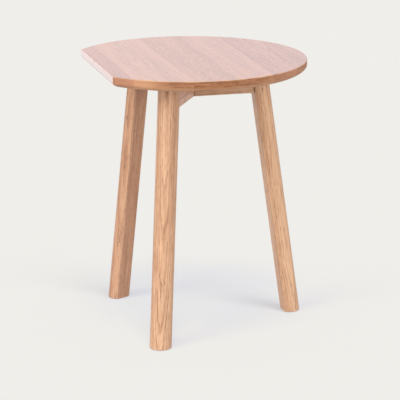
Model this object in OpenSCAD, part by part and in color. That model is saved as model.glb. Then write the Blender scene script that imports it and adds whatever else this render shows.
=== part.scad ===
// Tilt top side table: a round top with one straight edge, on a three-legged frame.
// The top tips up on a rod held between the two legs that stand below the straight edge.
// The origin is on the floor, below the middle of the whole table's outline.
// +Z is up, +X points from the straight edge towards the single leg.

/* [Table] */
// Height of the table
table_h = 503; // [480:1:530]
// Diameter of the round top
top_d = 440; // [430:1:450]
// Thickness of the top
top_t = 20; // [18:1:22]
// Distance from the middle of the leg circle to the straight edge
flat_edge_x = 175; // [172:1:177]

/* [Edge of the top] */
// Height of the rounding under the edge
edge_round_h = 8.5; // [5:0.5:12]
// Width of the rounding under the edge
edge_round_w = 12.5; // [8:0.5:14]
// Radius of the upper arris of the top
edge_arris = 1.5; // [0.5:0.5:3]

/* [Legs and rails] */
// Diameter of a leg
leg_d = 40; // [38:1:42]
// Distance from the leg's axis to its flat side
leg_flat = 12.6; // [12:0.1:14]
// Lean of a leg from upright, in degrees
leg_splay = 7.9; // [7.8:0.1:8.1]
// Distance of a leg's axis from the middle, at the floor
foot_r = 197.5; // [196:0.5:200]
// Rounding around the foot of a leg
foot_round = 2.5; // [1:0.5:5]
// Width of a rail
rail_w = 26; // [22:1:28]
// Height of a rail
rail_h = 33; // [28:1:36]
// Distance from the underside of the top to the top of the rails
rail_drop = 18; // [18:0.5:20]

/* [Tilt hinge] */
// Diameter of the pivot rod
rod_d = 8; // [6:1:8]
// Distance of the rod from the middle of the leg circle
pivot_x = -77; // [-77.5:0.5:-76.5]
// Distance from the underside of the top down to the rod's axis
pivot_drop = 18; // [18:0.5:19]
// Radial running clearance of the bushes and of the bolt
running_gap = 0.05; // [0.02:0.01:0.08]
// Sideways distance from the middle to each bearer
bearer_y = 49; // [49:1:60]

/* [Catch] */
// Distance of the bolt from the middle of the leg circle
catch_x = 85; // [76:1:88]
// Distance from the underside of the top down to the bolt's axis
catch_drop = 31; // [29:0.5:33]
// Travel of the bolt
bolt_travel = 12; // [10:1:12]

/* [Hidden] */

$fn = 96;
eps = 0.5;
glue_gap = 0.05;

// Wood screws: diameter, length and diameter of the head
bearer_screw = [4, 27, 8];
carrier_screw = [3, 14, 6];
hub_screw = [4, 20, 8];

// Heights and the shift that puts the origin below the middle of the outline
top_r = top_d / 2;
underside_z = table_h - top_t;
origin_shift = (top_r - flat_edge_x) / 2;
rail_top_z = underside_z - rail_drop;
rail_z = rail_top_z - rail_h;
pivot_z = underside_z - pivot_drop;
bolt_z = underside_z - catch_drop;

// Boards of the top: glue lines across the tilt direction
seam_x = [-144, -45, 36, 108];
board_end = top_r + 10;
arris_steps = 3;
round_steps = 7;
softness = 4 / 3;

// Legs
leg_r = leg_d / 2;
leg_angle_right = 0;
leg_angle_front = -120;
leg_angle_back = 120;
leg_gap = 3;
leg_top_z = underside_z - leg_gap;
leg_arris = 1.6;
head_round = 1.5;
rail_arris = 1.2;
end_steps = 4;

// Shadow gaps beside the joints of the rails: width at a leg, width at a mitre, depth
leg_joint_gap = 1.5;
mitre_gap = 2.2;
gap_depth = 4.5;

// Dowels between rail and leg
dowel_d = 8;
dowel_in_rail = 20;
dowel_in_leg = 18;
dowel_pitch = 16;

// Glides
glide_r = 12;
glide_t = 2.5;
glide_proud = 0.5;
nail_r = 1.2;
nail_l = 15;

// Pivot
rod_r = rod_d / 2;
rod_half = 118;
ear_r = 8;
bearer_w = 22;
bearer_h = 16;
bearer_end_x = 150;
bush_r = 5;
bush_flange_r = 7;
bush_flange_t = 1.5;
bearer_screw_x = [-58, -4, 72, 135];

// Pads
buffer_r = 6;
buffer_t = leg_gap - 0.1;
stop_x = -122;
stop_y = 120;
stop_t = 4.6;

// Hub
hub_r = 37;
hub_t = 3;
hub_screw_r = [16, 31];

// Catch
bolt_r = 4;
bolt_nose_y = 15;
carrier_y = 16;
carrier_l = 20;
carrier_boss_r = 9;
carrier_flange_w = 44;
carrier_flange_t = 3;
carrier_screw_dx = 17;
carrier_screw_dy = 5.5;
knob_y = carrier_y + carrier_l + bolt_travel + 1;
knob_r = 8;
knob_l = 10;
bolt_in_knob = 6;
bolt_end_y = knob_y + bolt_in_knob;
keeper_r = 6.5;
keeper_bore_r = 4.4;
keeper_in = 12;
keeper_flange_r = 9;
keeper_flange_t = 1;

oak_top = [0.86, 0.72, 0.62];
oak_frame = [0.82, 0.63, 0.46];
beech = [0.80, 0.66, 0.48];
steel = [0.62, 0.63, 0.65];
brass = [0.78, 0.62, 0.32];
bronze = [0.66, 0.47, 0.26];
felt = [0.32, 0.29, 0.27];
nylon = [0.88, 0.86, 0.80];

// Distance from the middle of a leg's axis, and of its flat side, at height z
function leg_axis_at(z) = foot_r - z * tan(leg_splay);
function leg_flat_at(z) = leg_axis_at(z) - leg_flat / cos(leg_splay);

// Half outline of the edge: [distance in from the edge, height above the underside]
function under_round() = [
    for (i = [0 : round_steps])
        let (a = 90 * i / round_steps)
        [edge_round_w * (1 - pow(sin(a), softness)), edge_round_h * (1 - pow(cos(a), softness))]];
function upper_arris() = [
    for (i = [0 : arris_steps])
        let (a = 90 * i / arris_steps)
        [edge_arris * (1 - cos(a)), top_t - edge_arris * (1 - sin(a))]];
function edge_outline() = concat(under_round(), upper_arris());

// Moves the leg circle's middle to its place beside the origin
module in_place() {
    translate([-origin_shift, 0, 0]) children();
}

module along_y(x, y, z) {
    translate([x, y, z]) rotate([-90, 0, 0]) children();
}

// Frame whose z axis is the leg's own axis and whose -x side is the flat side
module leg_line() {
    translate([foot_r, 0, 0]) rotate([0, -leg_splay, 0]) children();
}

// Countersunk wood screw, head at the origin, running down along -z
module wood_screw(size) {
    d = size[0];
    length = size[1];
    head_d = size[2];
    head_h = (head_d - d) / 2;
    slot_w = head_d / 8;
    slot_l = head_d / 2;
    slot_depth = 0.7 * head_h;
    difference() {
        union() {
            translate([0, 0, -head_h]) cylinder(d1 = d, d2 = head_d, h = head_h);
            translate([0, 0, -length + d]) cylinder(d = d, h = length - d - head_h);
            translate([0, 0, -length]) cylinder(d1 = d / 4, d2 = d, h = d);
        }
        for (turn = [0, 90])
            rotate([0, 0, turn]) translate([-slot_l / 2, -slot_w / 2, -slot_depth])
                cube([slot_l, slot_w, head_h]);
    }
}

// Hole for such a screw
module screw_hole(size) {
    hole_d = size[0] + 2 * glue_gap;
    length = size[1];
    seat_d = size[2] + 2 * glue_gap;
    head_h = (seat_d - hole_d) / 2;
    translate([0, 0, -length - eps]) cylinder(d = hole_d, h = length + 2 * eps);
    translate([0, 0, -head_h]) cylinder(d1 = hole_d, d2 = seat_d, h = head_h);
}

// Whole top as one blank: turned edge all round, and the same edge along the straight side
module top_blank() {
    turned = [for (p = edge_outline()) [top_r - p[0], p[1]]];
    straight = [for (p = edge_outline()) [-flat_edge_x + p[0], p[1]]];
    translate([0, 0, underside_z]) intersection() {
        rotate_extrude($fn = 180) polygon(concat([[0, 0]], turned, [[0, top_t]]));
        rotate([90, 0, 0]) translate([0, 0, -board_end]) linear_extrude(2 * board_end)
            polygon(concat([[board_end, 0]], straight, [[board_end, top_t]]));
    }
}

// One board of the top, between two glue lines
module top_board(number) {
    x0 = number == 0 ? -board_end : seam_x[number - 1];
    x1 = number == len(seam_x) ? board_end : seam_x[number];
    color(oak_top) in_place() difference() {
        intersection() {
            top_blank();
            translate([x0, -board_end, underside_z - eps])
                cube([x1 - x0, 2 * board_end, top_t + 2 * eps]);
        }
        for (side = [-1, 1]) bearer_screw_places(side) screw_hole(bearer_screw);
        carrier_screw_places() screw_hole(carrier_screw);
    }
}

module top_board_1() { top_board(0); }
module top_board_2() { top_board(1); }
module top_board_3() { top_board(2); }
module top_board_4() { top_board(3); }
module top_board_5() { top_board(4); }

// Screws point up from under the bearers
module bearer_screw_places(side) {
    for (x = bearer_screw_x)
        translate([x, side * bearer_y, underside_z - bearer_h]) rotate([180, 0, 0]) children();
}

// Bearer below the top, with a round ear around the rod
module bearer(side) {
    color(oak_frame) in_place() difference() {
        union() {
            translate([pivot_x - ear_r, side * bearer_y - bearer_w / 2, pivot_z])
                cube([2 * ear_r, bearer_w, pivot_drop]);
            translate([pivot_x, side * bearer_y - bearer_w / 2, underside_z - bearer_h])
                cube([bearer_end_x - pivot_x, bearer_w, bearer_h]);
            along_y(pivot_x, side * bearer_y - bearer_w / 2, pivot_z) cylinder(r = ear_r, h = bearer_w);
        }
        along_y(pivot_x, side * bearer_y - bearer_w, pivot_z)
            cylinder(r = bush_r + glue_gap, h = 2 * bearer_w);
        bearer_screw_places(side) screw_hole(bearer_screw);
        translate([bearer_end_x, side * bearer_y, underside_z - bearer_h])
            rotate([0, 45, 0]) cube([bearer_h, bearer_w + 2 * eps, bearer_h], center = true);
    }
}

module bearer_front() { bearer(-1); }
module bearer_back() { bearer(1); }

module bearer_screws(side) {
    color(steel) in_place() bearer_screw_places(side) wood_screw(bearer_screw);
}

module bearer_screws_front() { bearer_screws(-1); }
module bearer_screws_back() { bearer_screws(1); }

// Bush in a bearer, its flange on the outer side, turning on the rod
module pivot_bush(side) {
    color(bronze) in_place() along_y(pivot_x, side * bearer_y, pivot_z) difference() {
        union() {
            cylinder(r = bush_r, h = bearer_w, center = true);
            translate([0, 0, side * (bearer_w + bush_flange_t) / 2])
                cylinder(r = bush_flange_r, h = bush_flange_t, center = true);
        }
        cylinder(r = rod_r + running_gap, h = 2 * bearer_w, center = true);
    }
}

module pivot_bush_front() { pivot_bush(-1); }
module pivot_bush_back() { pivot_bush(1); }

// Pads under the top that meet the two legs when the top stands upright
module tilt_stop_pads() {
    color(felt) in_place() for (side = [-1, 1])
        translate([stop_x, side * stop_y, underside_z - stop_t]) cylinder(r = buffer_r, h = stop_t);
}

module carrier_screw_places() {
    for (sx = [-1, 1], sy = [-1, 1])
        translate([catch_x + sx * carrier_screw_dx, carrier_y + carrier_l / 2 + sy * carrier_screw_dy,
                   underside_z - carrier_flange_t]) rotate([180, 0, 0]) children();
}

// Bracket under the top that guides the bolt
module bolt_carrier() {
    color(brass) in_place() difference() {
        union() {
            translate([catch_x - carrier_flange_w / 2, carrier_y, underside_z - carrier_flange_t])
                cube([carrier_flange_w, carrier_l, carrier_flange_t]);
            translate([catch_x - carrier_boss_r, carrier_y, bolt_z])
                cube([2 * carrier_boss_r, carrier_l, catch_drop - eps]);
            along_y(catch_x, carrier_y, bolt_z) cylinder(r = carrier_boss_r, h = carrier_l);
        }
        along_y(catch_x, carrier_y - eps, bolt_z)
            cylinder(r = bolt_r + running_gap, h = carrier_l + 2 * eps);
        carrier_screw_places() screw_hole(carrier_screw);
    }
}

module bolt_carrier_screws() {
    color(brass) in_place() carrier_screw_places() wood_screw(carrier_screw);
}

// Bolt, drawn back: it slides towards the rail
module catch_bolt() {
    nose = 1;
    color(steel) in_place() along_y(catch_x, bolt_nose_y, bolt_z) {
        cylinder(r1 = bolt_r - nose, r2 = bolt_r, h = nose);
        translate([0, 0, nose]) cylinder(r = bolt_r, h = bolt_end_y - bolt_nose_y - nose);
    }
}

module catch_knob() {
    neck_r = 5.5;
    neck_l = 3;
    dome = 2;
    color(brass) in_place() along_y(catch_x, knob_y, bolt_z) difference() {
        union() {
            cylinder(r = neck_r, h = neck_l);
            translate([0, 0, neck_l]) cylinder(r1 = neck_r, r2 = knob_r, h = 1);
            translate([0, 0, neck_l + 1]) cylinder(r = knob_r, h = knob_l - neck_l - 1 - dome);
            translate([0, 0, knob_l - dome]) cylinder(r1 = knob_r, r2 = knob_r - dome, h = dome);
        }
        translate([0, 0, -eps])
            cylinder(r = bolt_r + glue_gap, h = bolt_end_y - knob_y + 2 * eps);
    }
}

// Flanged socket in the rail for the bolt
module bolt_keeper() {
    color(brass) in_place() along_y(catch_x, rail_w / 2 - keeper_in, bolt_z) difference() {
        union() {
            cylinder(r = keeper_r, h = keeper_in);
            translate([0, 0, keeper_in]) cylinder(r = keeper_flange_r, h = keeper_flange_t);
        }
        translate([0, 0, -eps]) cylinder(r = keeper_bore_r, h = keeper_in + keeper_flange_t + 2 * eps);
    }
}

// Section of a leg: round, with a flat side whose two arrises are eased
module leg_section() {
    arris_y = sqrt(leg_r * leg_r - leg_flat * leg_flat);
    arris_turn = 90 + atan2(leg_flat, arris_y) / 2 + 45;
    difference() {
        circle(r = leg_r);
        translate([-leg_flat - leg_d, -leg_d]) square([leg_d, 2 * leg_d]);
        for (side = [-1, 1])
            translate([-leg_flat, side * arris_y]) rotate(side * arris_turn)
                square(leg_arris, center = true);
    }
}

// Shape that rounds one end of a leg and opens out away from that end
module end_form(round_r, reach) {
    wide = leg_r / cos(leg_splay);
    arc = [for (i = [0 : end_steps]) let (a = 90 * i / end_steps)
        [wide - round_r * (1 - sin(a)), round_r * (1 - cos(a))]];
    rotate_extrude() polygon(concat([[0, 0]], arc, [[wide + reach, round_r + reach], [0, round_r + reach]]));
}

module leg(angle) {
    rotate([0, 0, angle]) difference() {
        intersection() {
            leg_line() translate([0, 0, -leg_d]) linear_extrude(table_h + 2 * leg_d) leg_section();
            translate([foot_r, 0, glide_proud]) end_form(foot_round, table_h);
            translate([leg_axis_at(leg_top_z), 0, leg_top_z]) mirror([0, 0, 1])
                end_form(head_round, table_h);
        }
        translate([foot_r, 0, -eps]) cylinder(r = glide_r + glue_gap, h = glide_t + eps);
        translate([foot_r, 0, 0]) cylinder(r = nail_r + glue_gap, h = glide_t + nail_l + eps);
        dowel_places() dowel(glue_gap, eps);
    }
}

// Bore through a leg for the end of the rod
module rod_bore() {
    along_y(pivot_x, -rod_half - eps, pivot_z)
        cylinder(r = rod_r + glue_gap, h = 2 * (rod_half + eps));
}

module leg_right() { color(oak_frame) in_place() leg(leg_angle_right); }
module leg_front() { color(oak_frame) in_place() difference() { leg(leg_angle_front); rod_bore(); } }
module leg_back() { color(oak_frame) in_place() difference() { leg(leg_angle_back); rod_bore(); } }

module dowel(gap, extra) {
    rotate([0, 90, 0]) translate([0, 0, -dowel_in_rail - extra])
        cylinder(r = dowel_d / 2 + gap, h = dowel_in_rail + dowel_in_leg + 2 * extra);
}

// Two dowels, one above the other, where a rail meets the flat side of its leg
module dowel_places() {
    for (side = [-1, 1]) {
        z = rail_z + rail_h / 2 + side * dowel_pitch / 2;
        translate([leg_flat_at(z), 0, z]) children();
    }
}

module dowels(angle) {
    color(beech) in_place() rotate([0, 0, angle]) dowel_places() dowel(0, 0);
}

module dowels_right() { dowels(leg_angle_right); }
module dowels_front() { dowels(leg_angle_front); }
module dowels_back() { dowels(leg_angle_back); }

// Rail from the middle to a leg: mitred to the other two, cut to the slope of the leg,
// and stepped back along both sides of each joint, which leaves a narrow shadow gap there
module rail(angle) {
    half = rail_w / 2;
    mitre_angle = 60;
    mitre = half / tan(mitre_angle);
    eased = half - rail_arris;
    upper = rail_h - rail_arris;
    rotate([0, 0, angle]) difference() {
        intersection() {
            translate([0, 0, rail_z]) linear_extrude(rail_h)
                polygon([[0, 0], [mitre, -half], [foot_r, -half], [foot_r, half], [mitre, half]]);
            translate([0, 0, rail_z]) rotate([90, 0, 90]) linear_extrude(foot_r)
                polygon([[-half, rail_arris], [-eased, 0], [eased, 0], [half, rail_arris],
                         [half, upper], [eased, rail_h], [-eased, rail_h], [-half, upper]]);
        }
        leg_line() translate([-leg_flat, -leg_d, 0]) cube([2 * leg_d, 2 * leg_d, table_h + leg_d]);
        for (side = [-1, 1]) {
            leg_line() translate([-leg_flat, side * half, table_h / 2])
                cube([2 * leg_joint_gap, 2 * gap_depth, 2 * table_h], center = true);
            translate([mitre, side * half, table_h / 2]) rotate([0, 0, side * mitre_angle])
                cube([2 * gap_depth, mitre_gap, 2 * table_h], center = true);
        }
        dowel_places() dowel(glue_gap, eps);
        hub_screw_places() screw_hole(hub_screw);
    }
}

module rail_right() {
    color(oak_frame) in_place() difference() {
        rail(leg_angle_right);
        along_y(catch_x, rail_w / 2 - keeper_in - eps, bolt_z)
            cylinder(r = keeper_r + glue_gap, h = keeper_in + 2 * eps);
    }
}
module rail_front() { color(oak_frame) in_place() rail(leg_angle_front); }
module rail_back() { color(oak_frame) in_place() rail(leg_angle_back); }

module hub_screw_places() {
    for (r = hub_screw_r) translate([r, 0, rail_top_z + hub_t]) children();
}

// Plate that ties the three rails together
module hub_plate() {
    color(steel) in_place() difference() {
        translate([0, 0, rail_top_z]) cylinder(r = hub_r, h = hub_t);
        for (angle = [leg_angle_right, leg_angle_front, leg_angle_back])
            rotate([0, 0, angle]) hub_screw_places() screw_hole(hub_screw);
    }
}

module hub_screws() {
    color(steel) in_place() for (angle = [leg_angle_right, leg_angle_front, leg_angle_back])
        rotate([0, 0, angle]) hub_screw_places() wood_screw(hub_screw);
}

module pivot_rod() {
    color(steel) in_place() along_y(pivot_x, -rod_half, pivot_z) cylinder(r = rod_r, h = 2 * rod_half);
}

// Thin pads on the heads of the legs, for the lowered top to lie on
module top_buffers() {
    color(felt) in_place() for (angle = [leg_angle_right, leg_angle_front, leg_angle_back])
        rotate([0, 0, angle]) translate([leg_axis_at(leg_top_z), 0, leg_top_z])
            cylinder(r = buffer_r, h = buffer_t);
}

// Nail-on glide under a foot
module glide(angle) {
    ease = 0.6;
    color(nylon) in_place() rotate([0, 0, angle]) translate([foot_r, 0, 0]) {
        cylinder(r1 = glide_r - ease, r2 = glide_r, h = ease);
        translate([0, 0, ease]) cylinder(r = glide_r, h = glide_t - ease);
        translate([0, 0, glide_t]) cylinder(r = nail_r, h = nail_l);
    }
}

module glide_right() { glide(leg_angle_right); }
module glide_front() { glide(leg_angle_front); }
module glide_back() { glide(leg_angle_back); }

top_board_1();
top_board_2();
top_board_3();
top_board_4();
top_board_5();
bearer_front();
bearer_back();
bearer_screws_front();
bearer_screws_back();
pivot_bush_front();
pivot_bush_back();
tilt_stop_pads();
bolt_carrier();
bolt_carrier_screws();
catch_bolt();
catch_knob();
leg_right();
leg_front();
leg_back();
rail_right();
rail_front();
rail_back();
dowels_right();
dowels_front();
dowels_back();
hub_plate();
hub_screws();
pivot_rod();
bolt_keeper();
top_buffers();
glide_right();
glide_front();
glide_back();
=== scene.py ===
"""Tilt top table: materials, turned details, floor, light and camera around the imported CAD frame."""

import math

import bmesh
import bpy
from mathutils import Euler, Matrix, Vector, noise


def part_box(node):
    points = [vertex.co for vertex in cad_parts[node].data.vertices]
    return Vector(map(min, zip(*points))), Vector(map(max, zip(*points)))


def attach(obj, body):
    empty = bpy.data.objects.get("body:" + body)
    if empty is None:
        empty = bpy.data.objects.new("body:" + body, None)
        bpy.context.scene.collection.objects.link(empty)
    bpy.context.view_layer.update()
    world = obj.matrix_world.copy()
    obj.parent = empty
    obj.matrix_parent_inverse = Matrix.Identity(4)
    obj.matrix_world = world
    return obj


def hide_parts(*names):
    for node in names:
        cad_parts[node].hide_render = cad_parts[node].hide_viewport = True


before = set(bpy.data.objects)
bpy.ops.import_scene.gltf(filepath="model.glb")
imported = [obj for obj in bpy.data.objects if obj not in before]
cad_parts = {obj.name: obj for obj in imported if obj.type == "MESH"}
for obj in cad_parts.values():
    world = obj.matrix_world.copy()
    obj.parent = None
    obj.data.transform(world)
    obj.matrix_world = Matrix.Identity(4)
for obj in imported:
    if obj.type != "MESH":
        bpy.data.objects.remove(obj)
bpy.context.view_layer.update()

MM = 0.001

# The middle of the legs, the straight edge of the top from there, and how the legs stand
MIDDLE_X = sum(corner.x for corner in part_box("hub_plate")) / 2
STRAIGHT_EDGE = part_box("top_board_1")[0].x - MIDDLE_X
LEG_ANGLES = {"right": 0.0, "front": -120.0, "back": 120.0}
LEG_SPLAY = math.radians(7.9)
FOOT_R = 197.5 * MM


def rgb(red, green, blue):
    """Linear colour from the usual 0 to 255 scale."""
    def linear(value):
        share = value / 255
        return share / 12.92 if share <= 0.04045 else ((share + 0.055) / 1.055) ** 2.4
    return (linear(red), linear(green), linear(blue), 1.0)


# ---------------------------------------------------------------- node trees

class Tree:
    """Short calls for building a node tree. An argument is a plain value or another node's socket."""

    def __init__(self, node_tree):
        self.nodes = node_tree.nodes
        self.links = node_tree.links

    def feed(self, socket, value):
        if isinstance(value, bpy.types.NodeSocket):
            self.links.new(value, socket)
        else:
            socket.default_value = value

    def coordinates(self, output):
        return self.nodes.new("ShaderNodeTexCoord").outputs[output]

    def math(self, operation, a, b=0.0, clamp=False):
        node = self.nodes.new("ShaderNodeMath")
        node.operation = operation
        node.use_clamp = clamp
        self.feed(node.inputs[0], a)
        self.feed(node.inputs[1], b)
        return node.outputs[0]

    def vector(self, operation, a, b):
        node = self.nodes.new("ShaderNodeVectorMath")
        node.operation = operation
        self.feed(node.inputs[0], a)
        self.feed(node.inputs[1], b)
        return node.outputs["Value" if operation == "DOT_PRODUCT" else "Vector"]

    def split(self, where):
        node = self.nodes.new("ShaderNodeSeparateXYZ")
        self.feed(node.inputs[0], where)
        return node.outputs

    def range(self, value, low, high, to_low=0.0, to_high=1.0):
        """to_low at low and to_high at high, with a smooth step between them."""
        node = self.nodes.new("ShaderNodeMapRange")
        node.interpolation_type = "SMOOTHSTEP"
        self.feed(node.inputs["Value"], value)
        node.inputs["From Min"].default_value = low
        node.inputs["From Max"].default_value = high
        node.inputs["To Min"].default_value = to_low
        node.inputs["To Max"].default_value = to_high
        return node.outputs["Result"]

    def mix(self, amount, a, b, blend="MIX"):
        node = self.nodes.new("ShaderNodeMix")
        node.data_type = "RGBA"
        node.blend_type = blend
        self.feed(node.inputs["Factor"], amount)
        self.feed(node.inputs["A"], a)
        self.feed(node.inputs["B"], b)
        return node.outputs[2]


class Surface(Tree):
    """A material with one principled shader."""

    def __init__(self, name):
        self.material = bpy.data.materials.new(name)
        self.material.use_nodes = True
        super().__init__(self.material.node_tree)
        self.nodes.clear()
        self.shader = self.nodes.new("ShaderNodeBsdfPrincipled")
        output = self.nodes.new("ShaderNodeOutputMaterial")
        self.links.new(self.shader.outputs["BSDF"], output.inputs["Surface"])

    def set(self, **sockets):
        """Feeds the shader's sockets, named with _ for a space, and gives the material."""
        for name, value in sockets.items():
            self.feed(self.shader.inputs[name.replace("_", " ")], value)
        return self.material

    def place(self, start=(0, 0, 0), turn=(0, 0, 0)):
        """Object coordinates seen from a frame with this start and turn, in metres."""
        node = self.nodes.new("ShaderNodeMapping")
        node.vector_type = "TEXTURE"
        node.inputs["Location"].default_value = start
        node.inputs["Rotation"].default_value = turn
        self.links.new(self.coordinates("Object"), node.inputs["Vector"])
        return node.outputs["Vector"]

    def noise(self, where, scale, detail=2.0, roughness=0.5, output="Fac", distortion=0.0):
        node = self.nodes.new("ShaderNodeTexNoise")
        self.feed(node.inputs["Vector"], where)
        node.inputs["Scale"].default_value = scale
        node.inputs["Detail"].default_value = detail
        node.inputs["Roughness"].default_value = roughness
        node.inputs["Distortion"].default_value = distortion
        return node.outputs[output]

    def stretched(self, where, scales, detail, roughness, output="Fac"):
        """Noise with a scale of its own along each axis, in repeats per metre."""
        return self.noise(self.vector("MULTIPLY", where, scales), 1.0, detail, roughness, output)

    def noise_along(self, value, scale, detail):
        """Noise along one number."""
        node = self.nodes.new("ShaderNodeTexNoise")
        node.noise_dimensions = "1D"
        self.feed(node.inputs["W"], value)
        node.inputs["Scale"].default_value = scale
        node.inputs["Detail"].default_value = detail
        return node.outputs["Fac"]

    def bump(self, height, distance, strength=1.0):
        node = self.nodes.new("ShaderNodeBump")
        node.inputs["Strength"].default_value = strength
        node.inputs["Distance"].default_value = distance
        self.feed(node.inputs["Height"], height)
        return node.outputs["Normal"]

    def end_grain(self, turn):
        """1 where the surface cuts across a grain that runs along the turned z axis, 0 beside it."""
        along = Euler(turn).to_matrix() @ Vector((0.0, 0.0, 1.0))
        facing = self.vector("DOT_PRODUCT", self.coordinates("Normal"), along)
        return self.range(self.math("ABSOLUTE", facing), 0.80, 0.98)

    def arris(self, radius):
        """1 on edges that a hand rubs, 0 on plain faces."""
        rounded = self.nodes.new("ShaderNodeBevel")
        rounded.samples = 4
        rounded.inputs["Radius"].default_value = radius
        plain = self.nodes.new("ShaderNodeNewGeometry")
        same = self.vector("DOT_PRODUCT", rounded.outputs["Normal"], plain.outputs["Normal"])
        return self.range(same, 0.985, 0.90)


# ---------------------------------------------------------------- oak

END_GRAIN_LIGHT = (0.84, 0.74, 0.66, 1.0)
END_GRAIN_DARK = (0.50, 0.39, 0.31, 1.0)
# Pale colour for worn edges, which on the boards' upper edge is also a painted highlight
WORN_EDGE_AND_HIGHLIGHT = rgb(226, 196, 166)
# Painted highlight: near-white colour for the face at the straight edge of the top, standing in for
# light washing it out
PAINTED_EDGE_HIGHLIGHT = rgb(220, 214, 218)
PAINTED_EDGE_HIGHLIGHT_SHARE = 0.66
PORE_SHADE = 0.42
PORE_DEPTH = 0.2 * MM
PORE_ROUGHNESS = 0.25
ARRIS_R = 1.2 * MM
RING_BEND = 22 * MM
RING_RAGGEDNESS = 1.6 * MM
SEED_STEP = (0.37, 0.53, 0.71)
YEAR_SEED_STEP = 13.1
LACQUER_ROUGHNESS = 0.25
UNCOATED_EXTRA_ROUGHNESS = 0.3

# How much the parts of the grain darken the wood, some as a share of its figure
YEAR_SHARE = 0.75
LINE_SHARE = 0.55
STREAK_TONE = 0.30
PATCH_TONE = 0.22
HEART_TONE = 0.16
FIBRE_TONE = 0.10

# How much the fibres rise and the early wood sinks, as a share of a pore's depth
FIBRE_HEIGHT = 0.12
EARLY_DEPTH = 0.10

# Noises that follow the grain: repeats per metre along x, y and the grain, detail, roughness
BEND = ((9.0, 9.0, 2.2), 3.0, 0.5)
RAGGED = ((300, 300, 45), 2.0, 0.6)
STREAK = ((180, 180, 7), 3.0, 0.55)
LINE = ((460, 460, 24), 2.0, 0.6)
FIBRE = ((1100, 1100, 55), 3.0, 0.6)
PORE = ((1350, 1350, 80), 1.0, 0.4)
PATCH = ((16, 16, 5), 2.0, 0.5)
HEART = ((34, 34, 1.6), 2.0, 0.5)
RAY = ((260, 420, 40), 1.0, 0.5)
END_BANDS = ((38, 330, 38), 3.0, 0.6)


def growth_rings(tree, local, seeded, pith, slope, ring, seed):
    """How far a point is into the porous early wood of its ring, and how dark that year's ring is."""
    bend = tree.vector("SUBTRACT", tree.stretched(seeded, *BEND, "Color"), (0.5, 0.5, 0.5))
    bent = tree.vector("ADD", local, tree.vector("MULTIPLY", bend, (RING_BEND, RING_BEND, 0.0)))
    ragged = tree.stretched(seeded, *RAGGED, "Color")
    ragged = tree.vector("MULTIPLY", ragged, (RING_RAGGEDNESS, RING_RAGGEDNESS, 0.0))
    x, y, z = tree.split(tree.vector("ADD", bent, ragged))
    across_x = tree.math("ADD", tree.math("SUBTRACT", x, pith[0]), tree.math("MULTIPLY", z, slope[0]))
    across_y = tree.math("ADD", tree.math("SUBTRACT", y, pith[1]), tree.math("MULTIPLY", z, slope[1]))
    square = tree.math("ADD", tree.math("MULTIPLY", across_x, across_x),
                       tree.math("MULTIPLY", across_y, across_y))
    rings = tree.math("DIVIDE", tree.math("SQRT", square), ring)

    # Early wood starts sharply with each year, and fades out before the year's end
    phase = tree.math("FRACT", rings)
    early = tree.math("MULTIPLY", tree.range(phase, 0.0, 0.10), tree.range(phase, 0.66, 0.20))
    years = tree.noise_along(tree.math("ADD", rings, seed * YEAR_SEED_STEP), 0.55, 2.0)
    return early, tree.range(years, 0.3, 0.7)


def oak_tone(tree, seeded, early, year_tone, fibre, figure, flecks):
    """From 0, the light colour of the wood, to 1, its dark colour."""
    patch = tree.stretched(seeded, *PATCH)
    ray = tree.math("MULTIPLY", tree.range(tree.stretched(seeded, *RAY), 0.58, 0.70),
                    tree.range(patch, 0.42, 0.62))
    line_tone = figure * LINE_SHARE
    tone = tree.math("MULTIPLY", early, figure)
    for part in (
            tree.math("MULTIPLY", year_tone, figure * YEAR_SHARE),
            tree.range(tree.stretched(seeded, *STREAK), 0.30, 0.72, 0.0, STREAK_TONE),
            tree.range(tree.stretched(seeded, *LINE), 0.3, 0.7, -line_tone, line_tone),
            tree.range(patch, 0.25, 0.75, 0.0, PATCH_TONE),
            tree.range(tree.stretched(seeded, *HEART), 0.34, 0.66, -HEART_TONE, HEART_TONE),
            tree.range(fibre, 0.3, 0.7, -FIBRE_TONE, FIBRE_TONE)):
        tone = tree.math("ADD", tone, part)
    return tree.math("SUBTRACT", tone, tree.math("MULTIPLY", ray, flecks), clamp=True)


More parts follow.
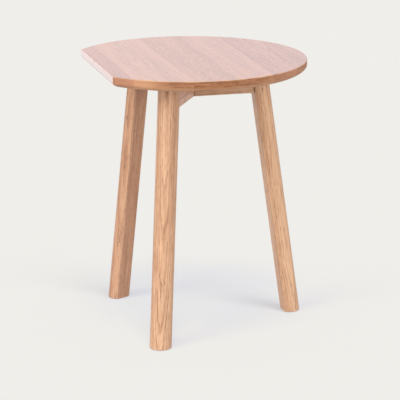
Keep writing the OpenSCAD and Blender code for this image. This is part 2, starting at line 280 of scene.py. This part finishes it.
def oak(name, tones, start, turn, pith, seed, slope=(0.0, 0.0), ring=3.4 * MM, figure=0.34,
        flecks=0.16, pores=0.75, satin=0.42, lacquered=False):
    """Oak with its grain along the z axis of the frame that start and turn give. tones are its
    light and dark colour. pith is the centre of the rings beside that axis, in metres, ring is
    their spacing, and slope is how far they wander sideways along the grain. figure, flecks and
    pores are how strongly the rings, the pale ray flecks and the dark pores show, and satin is
    the roughness of the wood between its pores. A lacquered board is coated where it faces up,
    its eased upper edge gets pale wear together with a painted highlight, and it gets a painted
    highlight, near white, where it reaches the straight edge of the top."""
    tree = Surface(name)
    light, dark = tones
    local = tree.place(start, turn)
    seeded = tree.vector("ADD", local, tuple(seed * step for step in SEED_STEP))
    early, year_tone = growth_rings(tree, local, seeded, pith, slope, ring, seed)
    fibre = tree.stretched(seeded, *FIBRE)
    pore = tree.math("MULTIPLY", tree.range(tree.stretched(seeded, *PORE), 0.57, 0.67),
                     tree.range(early, 0.0, 0.8, 0.25, 1.0))
    normal_z = tree.split(tree.coordinates("Normal"))[2]

    tone = oak_tone(tree, seeded, early, year_tone, fibre, figure, flecks)
    colour = tree.mix(tone, light, dark)
    pore_colour = tuple(channel * PORE_SHADE for channel in dark[:3]) + (1.0,)
    colour = tree.mix(tree.math("MULTIPLY", pore, pores), colour, pore_colour)
    end_bands = tree.range(tree.stretched(seeded, *END_BANDS), 0.36, 0.62)
    end_tint = tree.mix(end_bands, END_GRAIN_LIGHT, END_GRAIN_DARK)
    colour = tree.mix(tree.end_grain(turn), colour, end_tint, "MULTIPLY")

    # On a board, the eased upper edge, the only part of its faces that slopes upwards, gets pale wear
    # and a painted highlight; on the other pieces the rubbed arrises get pale wear
    if lacquered:
        wear_and_highlight = tree.math("MULTIPLY", tree.range(normal_z, 0.15, 0.5),
                           tree.range(normal_z, 0.97, 0.8))
    else:
        wear_and_highlight = tree.arris(ARRIS_R)
    scuffs = tree.range(tree.noise(seeded, 60.0, 3.0), 0.3, 0.7, 0.15, 0.5)
    colour = tree.mix(tree.math("MULTIPLY", wear_and_highlight, scuffs), colour, WORN_EDGE_AND_HIGHLIGHT)

    roughness = tree.math("ADD", tree.range(fibre, 0.2, 0.8, satin - 0.05, satin + 0.07),
                          tree.math("MULTIPLY", pore, PORE_ROUGHNESS))
    height = tree.math("SUBTRACT", tree.math("MULTIPLY", fibre, FIBRE_HEIGHT), pore)
    height = tree.math("SUBTRACT", height, tree.math("MULTIPLY", early, EARLY_DEPTH))
    if lacquered:
        # Painted highlight: the face at the straight edge of the top is painted near white
        edge_highlight = tree.range(tree.split(local)[0], STRAIGHT_EDGE + 0.8 * MM,
                             STRAIGHT_EDGE + 0.1 * MM, 0.0, PAINTED_EDGE_HIGHLIGHT_SHARE)
        colour = tree.mix(edge_highlight, colour, PAINTED_EDGE_HIGHLIGHT)
        facing_up = tree.range(normal_z, 0.6, 0.95)
        uncoated = tree.range(facing_up, 0.0, 1.0, UNCOATED_EXTRA_ROUGHNESS, 0.0)
        roughness = tree.math("ADD", roughness, uncoated)
        tree.set(Coat_Weight=facing_up, Coat_Roughness=LACQUER_ROUGHNESS)
    return tree.set(Base_Color=colour, Roughness=roughness, IOR=1.5,
                    Normal=tree.bump(height, PORE_DEPTH, 0.8))


# ---------------------------------------------------------------- metal, felt and nylon

def metal(name, clean, tarnished, brushed, grain):
    """Brushed or turned metal with faint tarnish and hairline scratches. brushed is its mean
    roughness, and grain is the scale of the brushing along each axis, in repeats per metre."""
    tree = Surface(name)
    local = tree.place()
    blotch = tree.range(tree.noise(local, 160.0, 4.0, 0.6), 0.38, 0.68)
    hair = tree.stretched(local, grain, 2.0, 0.6)
    speck = tree.range(tree.noise(local, 2600.0, 1.0), 0.66, 0.74)
    colour = tree.mix(tree.math("MULTIPLY", blotch, 0.6), clean, tarnished)
    colour = tree.mix(tree.math("MULTIPLY", speck, 0.35), colour, tarnished)
    roughness = tree.math("ADD", tree.range(hair, 0.25, 0.75, brushed - 0.06, brushed + 0.08),
                          tree.math("MULTIPLY", blotch, 0.10))
    return tree.set(Base_Color=colour, Metallic=1.0, Roughness=roughness,
                    Normal=tree.bump(hair, 0.03 * MM, 0.5))


def felt(name, ground, pale):
    """Pressed felt: pale fibres over a dark ground, in loose tufts."""
    tree = Surface(name)
    local = tree.place()
    fibres = tree.noise(local, 2200.0, 5.0, 0.75, distortion=1.2)
    tufts = tree.noise(local, 420.0, 3.0, 0.6)
    colour = tree.mix(tree.range(fibres, 0.35, 0.7), ground, pale)
    colour = tree.mix(tree.math("MULTIPLY", tree.range(tufts, 0.4, 0.7), 0.3), colour, ground)
    height = tree.math("ADD", fibres, tree.math("MULTIPLY", tufts, 0.6))
    return tree.set(Base_Color=colour, Roughness=0.95, Sheen_Weight=0.4, Sheen_Roughness=0.6,
                    Normal=tree.bump(height, 0.4 * MM))


def nylon(name, clean, scuffed):
    """Matt moulded nylon with long scuffs."""
    tree = Surface(name)
    local = tree.place()
    scuff = tree.range(tree.stretched(local, (700, 180, 180), 3.0, 0.6), 0.5, 0.75)
    grain = tree.noise(local, 1800.0, 3.0, 0.6)
    return tree.set(Base_Color=tree.mix(scuff, clean, scuffed),
                    Roughness=tree.range(scuff, 0.0, 1.0, 0.48, 0.66),
                    Normal=tree.bump(grain, 0.06 * MM, 0.6))


STEEL = metal("steel", rgb(176, 178, 182), rgb(140, 140, 142), 0.32, (400, 60, 400))
SCREW_STEEL = metal("screw_steel", rgb(182, 180, 172), rgb(138, 134, 126), 0.28, (500, 500, 90))
BRASS = metal("brass", rgb(206, 170, 104), rgb(150, 112, 60), 0.30, (120, 600, 120))
BRONZE = metal("bronze", rgb(166, 122, 76), rgb(112, 78, 46), 0.45, (500, 500, 500))
FELT = felt("felt", rgb(74, 68, 62), rgb(120, 112, 104))
NYLON = nylon("nylon", rgb(226, 222, 210), rgb(190, 184, 170))


# ---------------------------------------------------------------- materials on the CAD nodes

# From the straight edge across the top
BOARDS = [
    {"tones": (rgb(176, 125, 95), rgb(143, 97, 73)),
     "pith": (-0.20, 0.09), "figure": 0.10, "flecks": 0.10},
    {"tones": (rgb(189, 140, 105), rgb(153, 108, 79)),
     "pith": (-0.10, 0.06), "figure": 0.12, "flecks": 0.20},
    {"tones": (rgb(182, 132, 96), rgb(145, 100, 69)),
     "pith": (0.10, 0.075), "figure": 0.18, "flecks": 0.45},
    {"tones": (rgb(187, 137, 103), rgb(151, 105, 77)),
     "pith": (0.02, 0.05), "figure": 0.16, "flecks": 0.20},
    {"tones": (rgb(180, 129, 98), rgb(139, 94, 69)),
     "pith": (0.16, 0.065), "figure": 0.22, "flecks": 0.40},
]
LEGS = {
    "right": {"tones": (rgb(212, 171, 138), rgb(168, 120, 89)),
              "pith": (0.03, -0.05), "figure": 0.34, "seed": 160},
    "front": {"tones": (rgb(208, 167, 135), rgb(160, 113, 83)),
              "pith": (0.055, 0.012), "figure": 0.36, "seed": 121},
    "back": {"tones": (rgb(198, 153, 122), rgb(145, 96, 66)),
             "pith": (0.02, -0.06), "figure": 0.24, "seed": 102},
}
# Painted light: the front rail's lighter, pinker tones stand in for light bouncing onto it in the
# shade under the top
RAIL_TONES_AND_PAINTED_BOUNCE = {
    "right": (rgb(206, 166, 134), rgb(162, 116, 86)),
    "front": (rgb(224, 182, 160), rgb(180, 134, 112)),
    "back": (rgb(206, 166, 134), rgb(162, 116, 86)),
}
BEARER_TONES = (rgb(206, 158, 118), rgb(162, 110, 76))
BEECH_TONES = (rgb(212, 180, 140), rgb(180, 142, 104))


def dress(node, material):
    """Gives a CAD node its material."""
    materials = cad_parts[node].data.materials
    materials.clear()
    materials.append(material)


def dress_boards():
    """Boards with their grain along the straight edge."""
    start = (MIDDLE_X, 0.0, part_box("top_board_1")[1].z)
    along_edge = (-math.pi / 2, 0.0, 0.0)
    for number, board in enumerate(BOARDS, 1):
        drift = 0.03 * (-1) ** number
        dress(f"top_board_{number}", oak(
            f"oak_board_{number}", start=start, turn=along_edge, slope=(drift, 0.012),
            seed=number, pores=0.35, satin=0.38, lacquered=True, **board))


def level_grain(angle_deg, height):
    """Where the grain of a level piece starts, and the turn that lays it along the piece."""
    return (MIDDLE_X, 0.0, height), (0.0, math.pi / 2, math.radians(angle_deg))


def dress_legs_and_rails():
    """Legs with their grain along their lean, and rails and dowels with theirs along the rail."""
    for index, (side, angle) in enumerate(LEG_ANGLES.items()):
        turn = math.radians(angle)
        foot = (MIDDLE_X + FOOT_R * math.cos(turn), FOOT_R * math.sin(turn), 0.0)
        dress(f"leg_{side}", oak(
            f"oak_leg_{side}", start=foot, turn=(0.0, -LEG_SPLAY, turn), slope=(0.034, 0.014),
            ring=3.2 * MM, **LEGS[side]))
        start, along = level_grain(angle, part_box(f"rail_{side}")[0].z)
        dress(f"rail_{side}", oak(
            f"oak_rail_{side}", RAIL_TONES_AND_PAINTED_BOUNCE[side], start, along, pith=(0.06, 0.03),
            slope=(0.015, 0.02), seed=21 + index, ring=2.6 * MM))
        dress(f"dowels_{side}", oak(
            f"beech_{side}", BEECH_TONES, start, along, pith=(0.05, 0.0), seed=31 + index,
            ring=1.5 * MM))


def dress_bearers():
    """Bearers with their grain along their length, across the boards."""
    for index, side in enumerate(("front", "back")):
        start, along = level_grain(0.0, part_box(f"bearer_{side}")[0].z)
        dress(f"bearer_{side}", oak(
            f"oak_bearer_{side}", BEARER_TONES, start, along, pith=(0.07, 0.04),
            slope=(0.01, 0.01), seed=41 + index, ring=2.8 * MM))


def dress_fittings():
    """Metal, felt and nylon pieces, including those that a turned detail stands for."""
    for material, nodes in (
            (STEEL, ("hub_plate", "pivot_rod", "catch_bolt")),
            (SCREW_STEEL, ("hub_screws", "bearer_screws_front", "bearer_screws_back")),
            (BRASS, ("bolt_carrier", "bolt_carrier_screws", "catch_knob", "bolt_keeper")),
            (BRONZE, ("pivot_bush_front", "pivot_bush_back")),
            (FELT, ("tilt_stop_pads", "top_buffers")),
            (NYLON, ("glide_right", "glide_front", "glide_back"))):
        for node in nodes:
            dress(node, material)


# ---------------------------------------------------------------- turned details

def as_piece(name, work, material, place):
    """A smooth shaded object from a finished bmesh."""
    mesh = bpy.data.meshes.new(name)
    work.to_mesh(mesh)
    work.free()
    mesh.materials.append(material)
    mesh.shade_smooth()
    piece = bpy.data.objects.new(name, mesh)
    piece.matrix_world = place
    bpy.context.scene.collection.objects.link(piece)
    return piece


def turned(name, profile, steps, place, material, radius_at):
    """A form turned about its own z axis from (radius, height) points, in metres. radius_at works
    out a point's radius from the plain radius, the angle and the height."""
    work = bmesh.new()
    rings = []
    for radius, height in profile:
        ring = []
        for step in range(steps if radius > 0 else 1):
            angle = 2 * math.pi * step / steps
            reach = radius_at(radius, angle, height)
            ring.append(work.verts.new((reach * math.cos(angle), reach * math.sin(angle), height)))
        rings.append(ring)
    for near, far in zip(rings, rings[1:]):
        for step in range(steps):
            after = (step + 1) % steps
            corners = [near[step % len(near)], near[after % len(near)],
                       far[after % len(far)], far[step % len(far)]]
            work.faces.new(list(dict.fromkeys(corners)))
    bmesh.ops.recalc_face_normals(work, faces=work.faces)
    return as_piece(name, work, material, place)


def joined(name, parts, material):
    """One piece from several, with their places kept in its mesh."""
    work = bmesh.new()
    for part in parts:
        part.data.transform(part.matrix_world)
        work.from_mesh(part.data)
        bpy.data.objects.remove(part)
    return as_piece(name, work, material, Matrix.Identity(4))


def knurled_knob():
    """Turned brass knob on the end of the bolt: neck, cove, straight knurl and dished face."""
    low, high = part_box("catch_knob")
    bolt_low, bolt_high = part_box("catch_bolt")
    radius = (high.x - low.x) / 2
    length = high.y - low.y
    bore = (bolt_high.x - bolt_low.x) / 2 + 0.05 * MM
    bore_depth = bolt_high.y - low.y + 0.3 * MM
    ease = 0.2 * MM
    neck = 0.66 * radius
    neck_ease = 0.3 * MM
    cove_r = 2.1 * MM
    cove_start = (neck - 0.4 * MM, 0.9 * MM)
    cove_steps = 8
    shoulder = (radius - 0.5 * MM, 3.2 * MM)
    grip_start = 3.9 * MM
    grip_end = 8.6 * MM
    rim_slope = 0.9 * MM
    rim_width = 1.2 * MM
    dish_r = radius - 1.6 * MM
    dish_depth = 0.7 * MM
    dish_steps = 10
    teeth = 48
    points_per_tooth = 6
    tooth_depth = 0.35 * MM

    profile = [(0, bore_depth), (bore, bore_depth), (bore, ease), (bore + ease, 0),
               (neck - neck_ease, 0), (neck, neck_ease)]
    for step in range(cove_steps + 1):
        turn = math.pi / 2 * step / cove_steps
        profile.append((cove_start[0] + cove_r * (1 - math.cos(turn)),
                        cove_start[1] + cove_r * math.sin(turn)))
    profile += [shoulder, (radius, grip_start - ease), (radius, grip_start), (radius, grip_end),
                (radius, grip_end + ease), (radius - rim_slope, length - ease),
                (radius - rim_width, length)]
    for step in range(dish_steps):
        share = 1 - step / dish_steps
        profile.append((dish_r * share, length - dish_depth * (1 - share * share)))
    profile.append((0, length - dish_depth))

    def knurl(plain, angle, height):
        on_grip = grip_start - ease / 2 <= height <= grip_end + ease / 2
        groove = tooth_depth * (0.5 + 0.5 * math.cos(teeth * angle))
        return plain - groove if on_grip else plain

    place = (Matrix.Translation(((low.x + high.x) / 2, low.y, (low.z + high.z) / 2))
             @ Matrix.Rotation(-math.pi / 2, 4, "X"))
    piece = turned("knurled_knob", profile, points_per_tooth * teeth, place, BRASS, knurl)
    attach(piece, "catch")
    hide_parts("catch_knob")


def felt_disc(name, centre, radius, thickness):
    """Soft round pad of pressed felt, its base at centre, with rounded rims and an uneven side."""
    rim = 0.32 * thickness
    flat_r = radius - rim
    base_hollow = 0.15 * rim
    face_hollow = 0.12 * rim
    face_steps = 9
    rim_steps = 6
    steps_around = 72
    mean_share = 0.965
    unevenness = 0.03
    lumps_per_metre = 1500
    shares = [step / face_steps for step in range(face_steps)]
    turns = [math.pi / 2 * step / rim_steps for step in range(rim_steps + 1)]
    profile = [(flat_r * share, base_hollow * (1 - share)) for share in shares]
    profile += [(flat_r + rim * math.sin(turn), rim * (1 - math.cos(turn))) for turn in turns]
    profile += [(flat_r + rim * math.cos(turn), thickness - rim * (1 - math.sin(turn)))
                for turn in turns]
    profile += [(flat_r * share, thickness - face_hollow * (1 - share))
                for share in reversed(shares)]

    def uneven(plain, angle, height):
        where = Vector((math.cos(angle) * plain, math.sin(angle) * plain, height)) + centre
        return plain * (mean_share + unevenness * noise.noise(where * lumps_per_metre))

    return turned(name, profile, steps_around, Matrix.Translation(centre), FELT, uneven)


def felt_pads(name, body, node, radius, places):
    """Felt discs at these (x, y) places, as one piece that stands for a CAD node."""
    low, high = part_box(node)
    discs = [felt_disc(f"disc_{number}", Vector((x, y, low.z)), radius, high.z - low.z)
             for number, (x, y) in enumerate(places)]
    piece = joined(name, discs, FELT)
    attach(piece, body)
    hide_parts(node)


def pads_on_legs():
    """The lowered top rests on these."""
    reach = FOOT_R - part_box("leg_right")[1].z * math.tan(LEG_SPLAY)
    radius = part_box("top_buffers")[1].x - MIDDLE_X - reach
    turns = [math.radians(angle) for angle in LEG_ANGLES.values()]
    places = [(MIDDLE_X + reach * math.cos(turn), reach * math.sin(turn)) for turn in turns]
    felt_pads("leg_head_pads", "frame", "top_buffers", radius, places)


def pads_under_top():
    """These meet the legs when the top stands upright."""
    low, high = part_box("tilt_stop_pads")
    radius = (high.x - low.x) / 2
    places = [(low.x + radius, low.y + radius), (low.x + radius, high.y - radius)]
    felt_pads("tilt_stop_discs", "top", "tilt_stop_pads", radius, places)


# ---------------------------------------------------------------- floor, light and camera

BACKDROP = rgb(239, 238, 233)
BACK_GLOW = (1.00, 0.96, 1.06, 1.0)
BACK_WALL = Vector((0.25, 0.93, 0.25)).normalized()
FLOOR_COLOUR = (0.08, 0.08, 0.08, 1.0)
FLOOR_GLOW = (0.511, 0.497, 0.554, 1.0)
FLOOR_HALF_SIZE = 300.0

# Directions that the lights stand in
LEFT = (-0.80, -0.35, 0.50)
HIGH_LEFT = (-0.60, -0.31, 1.0)
HIGH_RIGHT = (0.34, -0.70, 1.0)
ABOVE = (-8, -112, 481)
ABOVE_LEFT = (-30, -158, 481)
FRONT = (0.12, -1.0, 0.17)
STRAIGHT_SIDE = (-1.0, 0.25, 0.05)
BEHIND_STRAIGHT_SIDE = (-1.0, 0.4, 0.0)


def pale_floor():
    """A plain floor, partly self-lit, so that the shadows on it stay as light as in a studio."""
    material = Surface("pale_floor").set(
        Base_Color=FLOOR_COLOUR, Roughness=1.0, Specular_IOR_Level=0.0,
        Emission_Color=FLOOR_GLOW, Emission_Strength=1.0)
    mesh = bpy.data.meshes.new("floor")
    corners = [(x * FLOOR_HALF_SIZE, y * FLOOR_HALF_SIZE, 0)
               for x, y in ((-1, -1), (1, -1), (1, 1), (-1, 1))]
    mesh.from_pydata(corners, [], [(0, 1, 2, 3)])
    mesh.materials.append(material)
    floor = bpy.data.objects.new("floor", mesh)
    bpy.context.scene.collection.objects.link(floor)
    return floor


def room():
    """Pale walls. The back wall is brighter and cooler for everything but the camera."""
    world = bpy.data.worlds.new("studio")
    world.use_nodes = True
    tree = Tree(world.node_tree)
    facing = tree.vector("DOT_PRODUCT", tree.coordinates("Generated"), BACK_WALL)
    seen = tree.nodes.new("ShaderNodeLightPath").outputs["Is Camera Ray"]
    glow = tree.math("MULTIPLY", tree.range(facing, 0.2, 0.9), tree.math("SUBTRACT", 1.0, seen))
    tree.feed(tree.nodes["Background"].inputs["Color"], tree.mix(glow, BACKDROP, BACK_GLOW))
    bpy.context.scene.world = world


def group(name, members, state="INCLUDE"):
    """A collection that a light includes or leaves out."""
    collection = bpy.data.collections.new(name)
    for member in members:
        collection.objects.link(member)
    for entry in collection.collection_objects:
        entry.light_linking.link_state = state
    return collection


def sun(name, towards, colour, strength, size_deg, lights, shadows_of=None, glossy=False):
    """A soft distant light that stands in the direction towards. It lights one group, and only
    the things in shadows_of, where given, cast its shadows. A glossy light shows in reflections."""
    light = bpy.data.lights.new(name, "SUN")
    light.energy = strength
    light.angle = math.radians(size_deg)
    light.color = colour
    holder = bpy.data.objects.new(name, light)
    holder.rotation_euler = Vector(towards).to_track_quat("Z", "Y").to_euler()
    holder.visible_glossy = glossy
    holder.light_linking.receiver_collection = lights
    holder.light_linking.blocker_collection = shadows_of
    bpy.context.scene.collection.objects.link(holder)


def table_lights(floor):
    """Soft light from the left, above and the front, and a light for the first board alone."""
    table = group("table_only", [floor], "EXCLUDE")
    edge = group("straight_edge", [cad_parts["top_board_1"]])
    sun("left_light", LEFT, (0.95, 0.96, 1.0), strength=1.6, size_deg=24, lights=table)
    sun("upper_light", ABOVE, (1.0, 0.97, 0.90), strength=0.9, size_deg=30, lights=table,
        glossy=True)
    sun("front_light", FRONT, (1.0, 0.97, 0.95), strength=1.25, size_deg=40, lights=table)
    sun("edge_light", STRAIGHT_SIDE, (1.0, 0.98, 1.0), strength=0.6, size_deg=20, lights=table)
    sun("straight_edge_light", BEHIND_STRAIGHT_SIDE, (0.80, 1.0, 1.05), strength=0.6,
        size_deg=10, lights=edge)


def floor_lights(floor):
    """The floor has lights of its own, so that its shadows are as pale as a studio's."""
    ground = group("floor_only", [floor])
    legs = group("legs", [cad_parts[f"leg_{side}"] for side in LEG_ANGLES])
    far_legs = group("far_legs", [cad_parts[f"leg_{side}"] for side in ("right", "back")])
    sun("floor_left_light", HIGH_LEFT, (0.94, 1.0, 0.40), strength=3.5, size_deg=22,
        lights=ground, shadows_of=legs)
    sun("floor_right_light", HIGH_RIGHT, (0.95, 1.0, 1.0), strength=4.0, size_deg=26,
        lights=ground, shadows_of=far_legs)
    sun("floor_upper_light", ABOVE_LEFT, (1.0, 0.87, 0.05), strength=2.3, size_deg=17,
        lights=ground)
    sun("floor_foot_light", ABOVE, (0.95, 1.0, 1.0), strength=3.5, size_deg=14,
        lights=ground, shadows_of=legs)


def camera(azimuth, distance, height, pitch, roll, yaw, lens):
    """Camera around the middle of the legs: azimuth 0 looks along +Y, and pitch is downwards."""
    around = math.radians(azimuth)
    back = Vector((math.sin(around), -math.cos(around), 0.0))
    place = Vector((MIDDLE_X, 0.0, 0.0)) + back * distance + Vector((0.0, 0.0, height))
    turn = (Matrix.Rotation(around - math.radians(yaw), 3, "Z")
            @ Matrix.Rotation(math.pi / 2 - math.radians(pitch), 3, "X")
            @ Matrix.Rotation(math.radians(roll), 3, "Z"))
    data = bpy.data.cameras.new("camera")
    data.lens = lens
    data.sensor_width = 36.0
    holder = bpy.data.objects.new("camera", data)
    holder.matrix_world = Matrix.Translation(place) @ turn.to_4x4()
    bpy.context.scene.collection.objects.link(holder)
    bpy.context.scene.camera = holder


dress_boards()
dress_legs_and_rails()
dress_bearers()
dress_fittings()
knurled_knob()
pads_on_legs()
pads_under_top()

stage_floor = pale_floor()
room()
table_lights(stage_floor)
floor_lights(stage_floor)
bpy.context.scene.view_settings.view_transform = "Standard"
camera(azimuth=-14.429, distance=4.6137, height=1.4112, pitch=14.352, roll=-0.146, yaw=0.257,
       lens=227.76)
